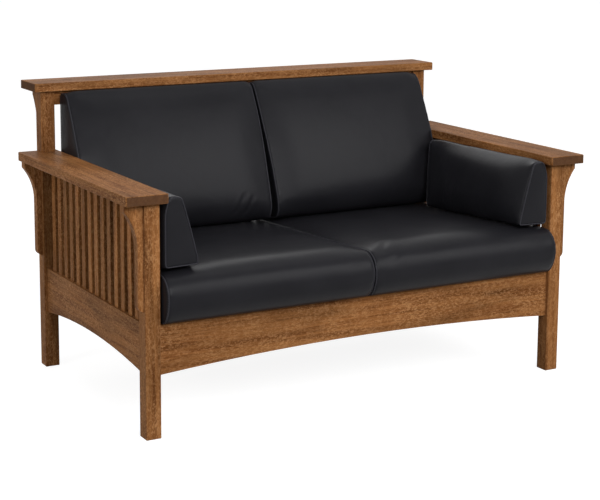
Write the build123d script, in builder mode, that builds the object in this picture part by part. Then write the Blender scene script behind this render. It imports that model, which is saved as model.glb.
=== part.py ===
from build123d import *
from math import asin, cos, radians, sin, tan
import os

# Mission settle: a slatted oak frame with six loose leather cushions.
# The settle faces -Y, +X is the sitter's left arm, and the floor is z = 0.

# Frame, measured over the outer faces of the posts
frame_width = 1400
frame_depth = 818
arm_height = 680
back_height = 893.5
seat_rail_height = 316

# Posts
post_size = 44.5
post_edge_round = 2
post_foot_chamfer = 1.5
post_tenon_size = 26
post_tenon_height = 14

# Arms
arm_thickness = 27
arm_outer_overhang = 61
arm_inner_overhang = 17
arm_front_overhang = 23
arm_corner_round = 5
arm_edge_round = 2.5

# Back cap rail
cap_thickness = 26
cap_end_overhang = 24
cap_front_overhang = 18
cap_rear_overhang = 67
cap_corner_round = 5
cap_edge_round = 2.5

# Rails, centred on the posts
rail_thickness = 25.4
lower_rail_width = 140
arch_rise = 26
upper_side_rail_width = 32
upper_back_rail_width = 44.5
rail_edge_round = 1.2
rail_tenon_thickness = 9.5
rail_tenon_shoulder = 8

# Slats
slat_width = 25.4
slat_thickness = 12.7
slat_edge_round = 1.2
slat_tenon_length = 10
side_slat_count = 14
side_slat_end_gap = 37
back_slat_count = 26
back_slat_end_gap = 35

# Corbels under the arms and under the cap rail
corbel_length = 297
corbel_projection = 53
corbel_nose = 20
corbel_leg = 16
corbel_sweep_end = 123
corbel_thickness = 27
corbel_foot_bevel = 17
corbel_foot_out_share = 0.78
corbel_foot_up_share = 0.42
corbel_edge_round = 1.2
corbel_dowel_radius = 4
corbel_dowel_length = 22
corbel_dowel_top_drop = 45
corbel_dowel_foot_rise = 70

# Seat deck
seat_slope = 3
deck_slat_count = 10
deck_slat_width = 89
deck_slat_thickness = 19
deck_slat_end_gap = 4
cleat_thickness = 22
cleat_width = 34
cleat_end_gap = 6

# Corner blocks, under the ends of the cleats
block_leg = 70
block_height = 36
block_gap = 1

# Screws
screw_shank_radius = 2.4
screw_head_radius = 4.8
screw_head_height = 3
screw_bite = 15
rail_screw_recess = 12
cleat_screw_count = 7
arm_screw_count = 4
cap_screw_count = 5
block_screw_shank_radius = 3
block_screw_head_radius = 7
block_screw_head_height = 4

# Joinery clearances
glue_gap = 0.1
tenon_end_gap = 1
screw_gap = 0.1
overrun = 5

# Cushions
cover_wall = 3
core_gap = 0.4
cushion_gap = 0.3
quarter_crown_share = 0.75

# Seat cushions, measured along and square to the sloping deck
seat_end_gap = 4
seat_middle_gap = 0.6
seat_thickness = 137
seat_crown = 6
seat_roll = 6
seat_roll_width = 26
seat_front_set = 45
seat_front_round = 60
seat_nose = 36
seat_nose_roll = 4
seat_nose_crown = 4
seat_rear_bulge = 5
seat_rear_gap = 3

# Back cushions, depths measured forward from the upper back rail
back_cushion_end_gap = 18
back_cushion_middle_gap = 5
back_cushion_base_depth = 227
back_cushion_base_round = 30
back_cushion_top_depth = 71
back_cushion_top_gap = 3
back_cushion_top_round = 22
back_cushion_belly = 14
back_cushion_roll = 5
back_cushion_roll_width = 24
back_cushion_crown = 9
back_cushion_rear_gap = 0.5

# Arm cushions, widths measured inward from the posts' inner faces, drops down from the arms'
# tops and the rear set forward from the back posts' rear faces
arm_cushion_lift = 0.95
arm_cushion_foot_slant = 1.7
arm_cushion_outer_gap = 7
arm_cushion_base_width = 126
arm_cushion_top_start = 24
arm_cushion_top_end = 72
arm_cushion_shoulder = 46
arm_cushion_front_drop = 15.4
arm_cushion_rear_drop = 25
arm_cushion_rear_set = 311
arm_cushion_rear_lean = 17
arm_cushion_top_bulge = 5
arm_cushion_end_belly = 1.5
arm_cushion_roll_belly = 7
arm_cushion_crown = 6
arm_cushion_outer_bulge = 1.5
arm_cushion_roll = 8
arm_cushion_roll_length = 24

# Planes that the frame hangs on
half_width = frame_width / 2
slope = radians(seat_slope)
seat_nose_reach = (seat_nose + seat_nose_roll + seat_nose_crown + seat_front_set) * cos(slope)
seat_nose_height = seat_thickness + seat_roll + seat_crown - seat_front_round
seat_front_reach = seat_nose_reach - seat_nose_height * sin(slope) - (post_size + rail_thickness) / 2
front_y = (seat_front_reach - frame_depth - cap_rear_overhang) / 2
back_y = front_y + frame_depth
inner_x = half_width - post_size
arm_bottom = arm_height - arm_thickness
cap_bottom = back_height - cap_thickness
lower_rail_bottom = seat_rail_height - lower_rail_width
upper_side_rail_bottom = arm_bottom - upper_side_rail_width
upper_back_rail_bottom = cap_bottom - upper_back_rail_width
post_axis_x = half_width - post_size / 2
front_axis_y = front_y + post_size / 2
back_axis_y = back_y - post_size / 2
front_rail_inner_y = front_axis_y + rail_thickness / 2
back_rail_inner_y = back_axis_y - rail_thickness / 2
rail_tenon_length = (post_size - rail_tenon_thickness) / 2 - tenon_end_gap
side_rail_middle_y = (front_y + back_y) / 2
side_span = frame_depth - 2 * post_size
cross_span = frame_width - 2 * post_size
side_slat_reach = (side_span - slat_width) / 2 - side_slat_end_gap
back_slat_reach = (cross_span - slat_width) / 2 - back_slat_end_gap


def deck_height(y):
    """Height of the top of the sloping deck at a depth"""
    return seat_rail_height - (y - front_rail_inner_y) * tan(slope)


def spread(first, last, count):
    """Evenly spaced places from first to last"""
    return [first + (last - first) * n / (count - 1) for n in range(count)]


side_slat_places = spread(
    side_rail_middle_y - side_slat_reach,
    side_rail_middle_y + side_slat_reach,
    side_slat_count,
)
back_slat_places = spread(-back_slat_reach, back_slat_reach, back_slat_count)


def middles(places):
    """Points halfway between neighbours"""
    return [(a + b) / 2 for a, b in zip(places, places[1:])]


def pick(places, count):
    """A few places spread evenly through a longer list"""
    return [places[round((n + 1) * len(places) / (count + 1)) - 1] for n in range(count)]


arm_screw_places = pick(middles(side_slat_places), arm_screw_count)
cap_screw_places = pick(middles(back_slat_places), cap_screw_count)
deck_slat_places = spread(
    -inner_x + deck_slat_width / 2 + cleat_end_gap,
    inner_x - deck_slat_width / 2 - cleat_end_gap,
    deck_slat_count,
)
cleat_screw_places = pick(middles(deck_slat_places), cleat_screw_count)


def block(x_span, y_span, z_span, mode=Mode.ADD):
    """A square-edged block between pairs of planes"""
    with BuildSketch(Plane.XY.offset(z_span[0])) as outline:
        with Locations(((x_span[0] + x_span[1]) / 2, (y_span[0] + y_span[1]) / 2)):
            Rectangle(x_span[1] - x_span[0], y_span[1] - y_span[0])
    extrude(outline.sketch, amount=z_span[1] - z_span[0], mode=mode)


def centred(middle, size):
    """The pair of planes that lie half a size to each side of a middle"""
    return (middle - size / 2, middle + size / 2)


def finish(piece, label):
    """Name a finished piece and write it out"""
    piece.part.label = label
    export_step(piece.part, f"parts/{label}.step")


def finish_pair(piece, label):
    """Write a left piece and its mirror image on the right"""
    finish(piece, f"{label}_left")
    with BuildPart() as twin:
        mirror(piece.part, about=Plane.YZ)
    finish(twin, f"{label}_right")


os.makedirs("parts", exist_ok=True)


# Tenons and the mortises that take them


def tenon_ends(span, height):
    """Tenon widths along a rail's height, short of both edges"""
    return (span + rail_tenon_shoulder, height - rail_tenon_shoulder)


def cross_mortise(y, z_low, z_high):
    """Mortise in the left posts' inner faces for a rail that runs in X"""
    depth = rail_tenon_length + tenon_end_gap
    low, high = tenon_ends(z_low, z_high)
    block(
        (-inner_x - depth, -inner_x + overrun),
        centred(y, rail_tenon_thickness + 2 * glue_gap),
        (low - glue_gap, high + glue_gap),
        Mode.SUBTRACT,
    )


def side_mortise(face_y, inward, z_low, z_high):
    """Mortise in a left post for a rail that runs in Y; inward points into the post"""
    depth = inward * (rail_tenon_length + tenon_end_gap)
    low, high = tenon_ends(z_low, z_high)
    block(
        centred(-post_axis_x, rail_tenon_thickness + 2 * glue_gap),
        sorted((face_y + depth, face_y - inward * overrun)),
        (low - glue_gap, high + glue_gap),
        Mode.SUBTRACT,
    )


def dowel_holes(plane, heights):
    """Blind holes for a corbel's dowels, drilled into the plane's face"""
    with Locations(*[plane * Location((0, z, 0)) for z in heights]):
        Hole(corbel_dowel_radius, depth=corbel_dowel_length / 2 + glue_gap)


def outer_face_plane(y):
    """The left posts' outer face, with its second axis up"""
    return Plane(origin=(-half_width, y, 0), x_dir=(0, -1, 0), z_dir=(-1, 0, 0))


def rear_face_plane(x):
    """The back posts' rear face, with its second axis up"""
    return Plane(origin=(x, back_y, 0), x_dir=(-1, 0, 0), z_dir=(0, 1, 0))


def dowel_heights(top):
    """Heights of the two dowels of a corbel whose top is given"""
    return (top - corbel_dowel_top_drop, top - corbel_length + corbel_dowel_foot_rise)


def post_stock(y, top):
    """A left post with its foot chamfered, its edges eased and a tenon on top"""
    block(centred(-post_axis_x, post_size), centred(y, post_size), (0, top))
    upright = [e for e in edges().filter_by(Axis.Z)]
    fillet(upright, post_edge_round)
    chamfer(faces().sort_by(Axis.Z)[0].edges(), post_foot_chamfer)
    block(
        centred(-post_axis_x, post_tenon_size),
        centred(y, post_tenon_size),
        (top, top + post_tenon_height),
    )


def cleat_foot(inner_y, outward):
    """Height of a cleat's underside, from the depth of the rail face that it is screwed to"""
    lowest = min(deck_height(inner_y), deck_height(inner_y + outward * cleat_thickness))
    return lowest - deck_slat_thickness / cos(slope) - cleat_width


# The corner blocks' screws run level into the posts, at 45 degrees
front_block_top = cleat_foot(front_rail_inner_y, 1) - block_gap
rear_block_top = cleat_foot(back_rail_inner_y, -1) - block_gap
rail_inner = (post_size + rail_thickness) / 2
block_face_start = (2 * rail_inner + block_leg) / 2
block_screw_length = (block_face_start - post_size) * 2**0.5 + screw_bite


def block_screw_plane(corner_y, inward, top):
    """Plane on a corner block's sloping face, facing away from its post"""
    middle = top - block_height / 2
    return Plane(
        origin=(-half_width + block_face_start, corner_y + inward * block_face_start, middle),
        x_dir=(0, 0, 1),
        z_dir=(1, inward, 0),
    )


# Front posts, under the arms
with BuildPart() as front_post:
    post_stock(front_axis_y, arm_bottom)
    cross_mortise(front_axis_y, lower_rail_bottom, seat_rail_height)
    side_mortise(front_y + post_size, -1, lower_rail_bottom, seat_rail_height)
    side_mortise(front_y + post_size, -1, upper_side_rail_bottom, arm_bottom)
    dowel_holes(outer_face_plane(front_axis_y), dowel_heights(arm_bottom))
    with Locations(block_screw_plane(front_y, 1, front_block_top).location):
        Hole(block_screw_shank_radius + screw_gap, depth=block_screw_length + tenon_end_gap)
finish_pair(front_post, "front_post")

# Back posts, running up through the arms to the cap rail
with BuildPart() as back_post:
    post_stock(back_axis_y, cap_bottom)
    cross_mortise(back_axis_y, lower_rail_bottom, seat_rail_height)
    cross_mortise(back_axis_y, upper_back_rail_bottom, cap_bottom)
    side_mortise(back_y - post_size, 1, lower_rail_bottom, seat_rail_height)
    side_mortise(back_y - post_size, 1, upper_side_rail_bottom, arm_bottom)
    dowel_holes(outer_face_plane(back_axis_y), dowel_heights(arm_bottom))
    dowel_holes(rear_face_plane(-post_axis_x), dowel_heights(cap_bottom))
    with Locations(block_screw_plane(back_y, -1, rear_block_top).location):
        Hole(block_screw_shank_radius + screw_gap, depth=block_screw_length + tenon_end_gap)
finish_pair(back_post, "back_post")


# Rails


def arched_board(plane, span):
    """A rail blank whose lower edge is arched, drawn on its outer face"""
    with BuildSketch(plane) as outline:
        with BuildLine():
            Line((-span / 2, lower_rail_bottom), (-span / 2, seat_rail_height))
            Line((-span / 2, seat_rail_height), (span / 2, seat_rail_height))
            Line((span / 2, seat_rail_height), (span / 2, lower_rail_bottom))
            ThreePointArc(
                (span / 2, lower_rail_bottom),
                (0, lower_rail_bottom + arch_rise),
                (-span / 2, lower_rail_bottom),
            )
        make_face()
    extrude(outline.sketch, amount=-rail_thickness)


def cross_tenons(y, z_low, z_high):
    """Tenons on both ends of a rail that runs in X"""
    for end in (-1, 1):
        block(
            sorted((end * inner_x, end * (inner_x + rail_tenon_length))),
            centred(y, rail_tenon_thickness),
            tenon_ends(z_low, z_high),
        )


def side_tenons(z_low, z_high):
    """Tenons on both ends of a left rail that runs in Y"""
    for face_y, inward in ((front_y + post_size, -1), (back_y - post_size, 1)):
        block(
            centred(-post_axis_x, rail_tenon_thickness),
            sorted((face_y, face_y + inward * rail_tenon_length)),
            tenon_ends(z_low, z_high),
        )


def slat_mortises(places, along_x, line, z_span):
    """Mortises for slats along a rail whose middle line is given"""
    for place in places:
        wide = centred(place, slat_width + 2 * glue_gap)
        thin = centred(line, slat_thickness + 2 * glue_gap)
        spans = (wide, thin) if along_x else (thin, wide)
        block(*spans, z_span, Mode.SUBTRACT)


lower_slat_mortise = (seat_rail_height - slat_tenon_length - tenon_end_gap, seat_rail_height + overrun)

with BuildPart() as front_rail:
    outer = Plane(origin=(0, front_axis_y - rail_thickness / 2, 0), x_dir=(1, 0, 0), z_dir=(0, -1, 0))
    arched_board(outer, cross_span)
    cross_tenons(front_axis_y, lower_rail_bottom, seat_rail_height)
    cleat_face = Plane(origin=(0, front_rail_inner_y, 0), x_dir=(-1, 0, 0), z_dir=(0, 1, 0))
    screw_height = deck_height(front_rail_inner_y) - deck_slat_thickness - cleat_width / 2
    with Locations(*[cleat_face * Location((x, screw_height, 0)) for x in cleat_screw_places]):
        Hole(screw_shank_radius + screw_gap, depth=screw_bite + tenon_end_gap)
finish(front_rail, "front_rail")

with BuildPart() as lower_back_rail:
    outer = Plane(origin=(0, back_axis_y + rail_thickness / 2, 0), x_dir=(-1, 0, 0), z_dir=(0, 1, 0))
    arched_board(outer, cross_span)
    cross_tenons(back_axis_y, lower_rail_bottom, seat_rail_height)
    slat_mortises(back_slat_places, True, back_axis_y, lower_slat_mortise)
    cleat_face = Plane(origin=(0, back_rail_inner_y, 0), x_dir=(1, 0, 0), z_dir=(0, -1, 0))
    screw_height = deck_height(back_rail_inner_y) - deck_slat_thickness - cleat_width / 2
    with Locations(*[cleat_face * Location((x, screw_height, 0)) for x in cleat_screw_places]):
        Hole(screw_shank_radius + screw_gap, depth=screw_bite + tenon_end_gap)
finish(lower_back_rail, "lower_back_rail")

with BuildPart() as lower_side_rail:
    outer = Plane(
        origin=(-post_axis_x - rail_thickness / 2, side_rail_middle_y, 0),
        x_dir=(0, -1, 0),
        z_dir=(-1, 0, 0),
    )
    arched_board(outer, side_span)
    side_tenons(lower_rail_bottom, seat_rail_height)
    slat_mortises(side_slat_places, False, -post_axis_x, lower_slat_mortise)
finish_pair(lower_side_rail, "lower_side_rail")


def upward_screw_holes(points, bottom, width):
    """Stepped holes up through a rail for the screws that hold the board above it"""
    with Locations(*[Plane((x, y, bottom), z_dir=(0, 0, -1)).location for x, y in points]):
        CounterBoreHole(
            screw_shank_radius + screw_gap,
            screw_head_radius + screw_gap,
            rail_screw_recess,
            depth=width + overrun,
        )


arm_screw_points = [(-post_axis_x, y) for y in arm_screw_places]
cap_screw_points = [(x, back_axis_y) for x in cap_screw_places]

with BuildPart() as upper_side_rail:
    side_ends = (front_y + post_size, back_y - post_size)
    block(centred(-post_axis_x, rail_thickness), side_ends, (upper_side_rail_bottom, arm_bottom))
    fillet(faces().sort_by(Axis.Z)[0].edges().filter_by(Axis.Y), rail_edge_round)
    side_tenons(upper_side_rail_bottom, arm_bottom)
    slat_top = upper_side_rail_bottom + slat_tenon_length
    slat_mortises(
        side_slat_places,
        False,
        -post_axis_x,
        (upper_side_rail_bottom - overrun, slat_top + tenon_end_gap),
    )
    upward_screw_holes(arm_screw_points, upper_side_rail_bottom, upper_side_rail_width)
finish_pair(upper_side_rail, "upper_side_rail")

with BuildPart() as upper_back_rail:
    cross_ends = (-inner_x, inner_x)
    block(cross_ends, centred(back_axis_y, rail_thickness), (upper_back_rail_bottom, cap_bottom))
    fillet(faces().sort_by(Axis.Z)[0].edges().filter_by(Axis.X), rail_edge_round)
    cross_tenons(back_axis_y, upper_back_rail_bottom, cap_bottom)
    slat_top = upper_back_rail_bottom + slat_tenon_length
    slat_mortises(
        back_slat_places,
        True,
        back_axis_y,
        (upper_back_rail_bottom - overrun, slat_top + tenon_end_gap),
    )
    upward_screw_holes(cap_screw_points, upper_back_rail_bottom, upper_back_rail_width)
finish(upper_back_rail, "upper_back_rail")


# Slats, each entering the rail above and the rail below by a stub tenon


def slat_stock(along_x, top):
    """One slat standing at the origin's depth and width"""
    low = seat_rail_height - slat_tenon_length
    size = (slat_width, slat_thickness) if along_x else (slat_thickness, slat_width)
    block(centred(0, size[0]), centred(0, size[1]), (low, top + slat_tenon_length))
    fillet(edges().filter_by(Axis.Z), slat_edge_round)


with BuildPart() as side_slat:
    slat_stock(False, upper_side_rail_bottom)

with BuildPart() as side_slats:
    with Locations(*[(-post_axis_x, y, 0) for y in side_slat_places]):
        add(side_slat.part)
finish_pair(side_slats, "side_slats")

with BuildPart() as back_slat:
    slat_stock(True, upper_back_rail_bottom)

with BuildPart() as back_slats:
    with Locations(*[(x, back_axis_y, 0) for x in back_slat_places]):
        add(back_slat.part)
finish(back_slats, "back_slats")

# Arms: wide boards notched round the back posts, on tenons over the front posts
arm_x = (-half_width - arm_outer_overhang, -inner_x + arm_inner_overhang)
arm_y = (front_y - arm_front_overhang, back_y)

with BuildPart() as arm:
    block(arm_x, arm_y, (arm_bottom, arm_height))
    fillet(edges().filter_by(Axis.Z), arm_corner_round)
    fillet(faces().sort_by(Axis.Z)[-1].edges(), arm_edge_round)
    fillet(faces().sort_by(Axis.Z)[0].edges(), arm_edge_round)
    block(
        centred(-post_axis_x, post_size + 2 * glue_gap),
        (back_y - post_size - glue_gap, back_y + overrun),
        (arm_bottom - overrun, arm_height + overrun),
        Mode.SUBTRACT,
    )
    block(
        centred(-post_axis_x, post_tenon_size + 2 * glue_gap),
        centred(front_axis_y, post_tenon_size + 2 * glue_gap),
        (arm_bottom - overrun, arm_bottom + post_tenon_height + tenon_end_gap),
        Mode.SUBTRACT,
    )
    with Locations(*[Plane((x, y, arm_bottom), z_dir=(0, 0, -1)).location for x, y in arm_screw_points]):
        Hole(screw_shank_radius + screw_gap, depth=screw_bite + tenon_end_gap)
finish_pair(arm, "arm")

# Cap rail, on the tenons of the back posts
cap_x = half_width + cap_end_overhang
cap_y = (back_y - post_size - cap_front_overhang, back_y + cap_rear_overhang)

with BuildPart() as cap_rail:
    block((-cap_x, cap_x), cap_y, (cap_bottom, back_height))
    fillet(edges().filter_by(Axis.Z), cap_corner_round)
    fillet(faces().sort_by(Axis.Z)[-1].edges(), cap_edge_round)
    fillet(faces().sort_by(Axis.Z)[0].edges(), cap_edge_round)
    for side in (-1, 1):
        block(
            centred(side * post_axis_x, post_tenon_size + 2 * glue_gap),
            centred(back_axis_y, post_tenon_size + 2 * glue_gap),
            (cap_bottom - overrun, cap_bottom + post_tenon_height + tenon_end_gap),
            Mode.SUBTRACT,
        )
    with Locations(*[Plane((x, y, cap_bottom), z_dir=(0, 0, -1)).location for x, y in cap_screw_points]):
        Hole(screw_shank_radius + screw_gap, depth=screw_bite + tenon_end_gap)
finish(cap_rail, "back_cap_rail")


# Corbels


def corbel_stock(plane, top):
    """A bracket that hangs from a board, drawn on a plane through its middle
    whose first axis points out of the post's face and whose second is up"""
    foot = top - corbel_length
    nose = top - corbel_nose
    sweep_foot = top - corbel_sweep_end
    rise = nose - sweep_foot
    flare = corbel_projection - corbel_leg
    radius = (rise**2 + flare**2) / (2 * flare)
    half_rise = rise / 2
    half_flare = radius - (radius**2 - half_rise**2) ** 0.5
    with BuildSketch(plane) as outline:
        with BuildLine():
            Line((0, foot), (0, top))
            Line((0, top), (corbel_projection, top))
            Line((corbel_projection, top), (corbel_projection, nose))
            ThreePointArc(
                (corbel_projection, nose),
                (corbel_leg + half_flare, sweep_foot + half_rise),
                (corbel_leg, sweep_foot),
            )
            Line((corbel_leg, sweep_foot), (corbel_leg, foot + corbel_foot_bevel))
            ThreePointArc(
                (corbel_leg, foot + corbel_foot_bevel),
                (corbel_leg * corbel_foot_out_share, foot + corbel_foot_bevel * corbel_foot_up_share),
                (0, foot),
            )
        make_face()
    extrude(outline.sketch, amount=corbel_thickness / 2, both=True)
    free = [e for e in edges() if (e.center() - plane.origin).dot(plane.x_dir) > corbel_edge_round]
    sides = [e for e in free if abs((e @ 0 - e @ 1).dot(plane.z_dir)) < corbel_edge_round]
    fillet([e for e in sides if e.center().Z < top - corbel_edge_round], corbel_edge_round)


for y, label in ((front_axis_y, "front_corbel"), (back_axis_y, "rear_corbel")):
    with BuildPart() as corbel:
        corbel_stock(Plane(origin=(-half_width, y, 0), x_dir=(-1, 0, 0), z_dir=(0, 1, 0)), arm_bottom)
        face = Plane(origin=(-half_width, y, 0), x_dir=(0, 1, 0), z_dir=(1, 0, 0))
        dowel_holes(face, dowel_heights(arm_bottom))
    finish_pair(corbel, label)

with BuildPart() as cap_corbel:
    corbel_stock(Plane(origin=(-post_axis_x, back_y, 0), x_dir=(0, 1, 0), z_dir=(1, 0, 0)), cap_bottom)
    face = Plane(origin=(-post_axis_x, back_y, 0), x_dir=(1, 0, 0), z_dir=(0, -1, 0))
    dowel_holes(face, dowel_heights(cap_bottom))
finish_pair(cap_corbel, "cap_corbel")

# Dowels, half in the post and half in the corbel
with BuildPart() as corbel_dowels:
    for y in (front_axis_y, back_axis_y):
        plane = outer_face_plane(y)
        with Locations(*[plane * Location((0, z, 0)) for z in dowel_heights(arm_bottom)]):
            Cylinder(corbel_dowel_radius - glue_gap, corbel_dowel_length)
    plane = rear_face_plane(-post_axis_x)
    with Locations(*[plane * Location((0, z, 0)) for z in dowel_heights(cap_bottom)]):
        Cylinder(corbel_dowel_radius - glue_gap, corbel_dowel_length)
    mirror(about=Plane.YZ)
finish(corbel_dowels, "corbel_dowels")


# Seat deck: cleats on the front and back rails carry slats that run front to back


def cleat_stock(inner_y, outward):
    """A cleat, its top following the slope of the deck"""
    far_y = inner_y + outward * cleat_thickness
    under = deck_height(inner_y) - deck_slat_thickness / cos(slope)
    far_under = deck_height(far_y) - deck_slat_thickness / cos(slope)
    low = cleat_foot(inner_y, outward)
    with BuildSketch(Plane.YZ.offset(-inner_x + cleat_end_gap)) as outline:
        with BuildLine():
            Polyline((inner_y, low), (far_y, low), (far_y, far_under), (inner_y, under), close=True)
        make_face()
    extrude(outline.sketch, amount=cross_span - 2 * cleat_end_gap)


deck_start_y = front_rail_inner_y + deck_slat_end_gap
deck_end_y = back_rail_inner_y - deck_slat_end_gap


def deck_screw_plane(x, y):
    """Plane on the deck's top, square to its slope"""
    return Plane(origin=(x, y, deck_height(y)), x_dir=(1, 0, 0), z_dir=(0, sin(slope), cos(slope)))


deck_screw_lines = (front_rail_inner_y + cleat_thickness / 2, back_rail_inner_y - cleat_thickness / 2)
deck_screw_length = deck_slat_thickness + screw_bite


def countersunk_holes(planes, depth):
    """Screw holes with a cone for the head, bored down into each plane"""
    with Locations(*[plane.location for plane in planes]):
        CounterSinkHole(screw_shank_radius + screw_gap, screw_head_radius + screw_gap, depth=depth)


for label, inner_y, outward in (
    ("front_cleat", front_rail_inner_y, 1),
    ("back_cleat", back_rail_inner_y, -1),
):
    with BuildPart() as cleat:
        cleat_stock(inner_y, outward)
        screw_height = deck_height(inner_y) - deck_slat_thickness - cleat_width / 2
        far_y = inner_y + outward * cleat_thickness
        holes = [
            Plane(origin=(-outward * x, far_y, screw_height), x_dir=(1, 0, 0), z_dir=(0, outward, 0))
            for x in cleat_screw_places
        ]
        countersunk_holes(holes, cleat_thickness + overrun)
        line = inner_y + outward * cleat_thickness / 2
        with Locations(*[deck_screw_plane(x, line).location for x in deck_slat_places]):
            Hole(screw_shank_radius + screw_gap, depth=deck_screw_length + tenon_end_gap)
    finish(cleat, label)

with BuildPart() as deck_slats:
    for x in deck_slat_places:
        with BuildSketch(Plane.YZ.offset(x - deck_slat_width / 2)):
            drop = deck_slat_thickness / cos(slope)
            with BuildLine():
                Polyline(
                    (deck_start_y, deck_height(deck_start_y)),
                    (deck_end_y, deck_height(deck_end_y)),
                    (deck_end_y, deck_height(deck_end_y) - drop),
                    (deck_start_y, deck_height(deck_start_y) - drop),
                    close=True,
                )
            make_face()
        extrude(amount=deck_slat_width)
    fillet(edges().filter_by(lambda e: e.length > side_span / 2), slat_edge_round)
    for y in deck_screw_lines:
        countersunk_holes([deck_screw_plane(x, y) for x in deck_slat_places], deck_slat_thickness + overrun)
finish(deck_slats, "deck_slats")

# Corner blocks, fitted round the inner corner of each post
notch = post_size + block_gap


def corner_block_stock(corner_y, inward, top):
    """A block that braces the side rail to the front or back rail at one left corner"""
    corners = ((rail_inner, notch), (notch, notch), (notch, rail_inner))
    corners += ((rail_inner + block_leg, rail_inner), (rail_inner, rail_inner + block_leg))
    with BuildSketch(Plane.XY.offset(top - block_height)) as outline:
        with BuildLine():
            Polyline(*[(-half_width + u, corner_y + inward * v) for u, v in corners], close=True)
        make_face()
    extrude(outline.sketch, amount=block_height)


block_corners = (
    ("front_corner_block", front_y, 1, front_block_top),
    ("rear_corner_block", back_y, -1, rear_block_top),
)

for label, corner_y, inward, top in block_corners:
    with BuildPart() as corner_block:
        corner_block_stock(corner_y, inward, top)
        with Locations(block_screw_plane(corner_y, inward, top).location):
            CounterBoreHole(
                block_screw_shank_radius + screw_gap,
                block_screw_head_radius + screw_gap,
                block_screw_head_height + screw_gap,
                depth=block_screw_length,
            )
    finish_pair(corner_block, label)

# Screws


def pan_screw(length):
    """A screw whose head bears on a face at the origin, driven along -Z"""
    with Locations((0, 0, screw_head_height / 2)):
        Cylinder(screw_head_radius, screw_head_height)
    with Locations((0, 0, -length / 2)):
        Cylinder(screw_shank_radius, length)


def flat_screw(length):
    """A countersunk screw, its head flush with the origin, driven along -Z"""
    head_depth = screw_head_radius - screw_shank_radius
    with Locations((0, 0, -head_depth / 2)):
        Cone(screw_shank_radius, screw_head_radius, head_depth)
    with Locations((0, 0, -length / 2)):
        Cylinder(screw_shank_radius, length)


arm_screw_length = upper_side_rail_width - rail_screw_recess + screw_bite
cap_screw_length = upper_back_rail_width - rail_screw_recess + screw_bite

with BuildPart() as arm_screw:
    pan_screw(arm_screw_length)

with BuildPart() as arm_screws:
    recess = upper_side_rail_bottom + rail_screw_recess
    with Locations(*[Plane((x, y, recess), z_dir=(0, 0, -1)).location for x, y in arm_screw_points]):
        add(arm_screw.part)
    mirror(about=Plane.YZ)
finish(arm_screws, "arm_screws")

with BuildPart() as cap_screw:
    pan_screw(cap_screw_length)

with BuildPart() as cap_screws:
    recess = upper_back_rail_bottom + rail_screw_recess
    with Locations(*[Plane((x, y, recess), z_dir=(0, 0, -1)).location for x, y in cap_screw_points]):
        add(cap_screw.part)
finish(cap_screws, "cap_screws")

with BuildPart() as cleat_screw:
    flat_screw(cleat_thickness + screw_bite)

with BuildPart() as cleat_screws:
    for inner_y, outward in ((front_rail_inner_y, 1), (back_rail_inner_y, -1)):
        height = deck_height(inner_y) - deck_slat_thickness - cleat_width / 2
        far_y = inner_y + outward * cleat_thickness
        planes = [
            Plane(origin=(-outward * x, far_y, height), x_dir=(1, 0, 0), z_dir=(0, outward, 0))
            for x in cleat_screw_places
        ]
        with Locations(*[plane.location for plane in planes]):
            add(cleat_screw.part)
finish(cleat_screws, "cleat_screws")

with BuildPart() as deck_screw:
    flat_screw(deck_screw_length)

with BuildPart() as deck_screws:
    for y in deck_screw_lines:
        with Locations(*[deck_screw_plane(x, y).location for x in deck_slat_places]):
            add(deck_screw.part)
finish(deck_screws, "deck_screws")

with BuildPart() as block_screw:
    with Locations((0, 0, -block_screw_head_height / 2)):
        Cylinder(block_screw_head_radius, block_screw_head_height)
    with Locations((0, 0, -block_screw_length / 2)):
        Cylinder(block_screw_shank_radius, block_screw_length)

with BuildPart() as corner_block_screws:
    for _, corner_y, inward, top in block_corners:
        with Locations(block_screw_plane(corner_y, inward, top).location):
            add(block_screw.part)
    mirror(about=Plane.YZ)
finish(corner_block_screws, "corner_block_screws")


# Cushions: each is a leather cover round a separate foam core


def cushion_slices(start, end, roll_width, inset):
    """Places of the slices across a cushion, with how far each has swelled:
    none at the seam, then the roll beside it, then the crown towards the middle"""
    middle = (start + end) / 2
    low_quarter = (start + roll_width + middle) / 2
    high_quarter = (end - roll_width + middle) / 2
    return (
        (start + inset, 0, 0),
        (start + roll_width, 1, 0),
        (low_quarter, 1, quarter_crown_share),
        (middle, 1, 1),
        (high_quarter, 1, quarter_crown_share),
        (end - roll_width, 1, 0),
        (end - inset, 0, 0),
    )


# Seat cushions lie on the deck and roll over the front rail
seat_plane = Plane(
    origin=(0, front_rail_inner_y, seat_rail_height + cushion_gap),
    x_dir=(0, cos(slope), -sin(slope)),
    z_dir=(1, 0, 0),
)
seat_rear = (back_rail_inner_y - seat_rear_gap - seat_rear_bulge - front_rail_inner_y) / cos(slope)


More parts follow.
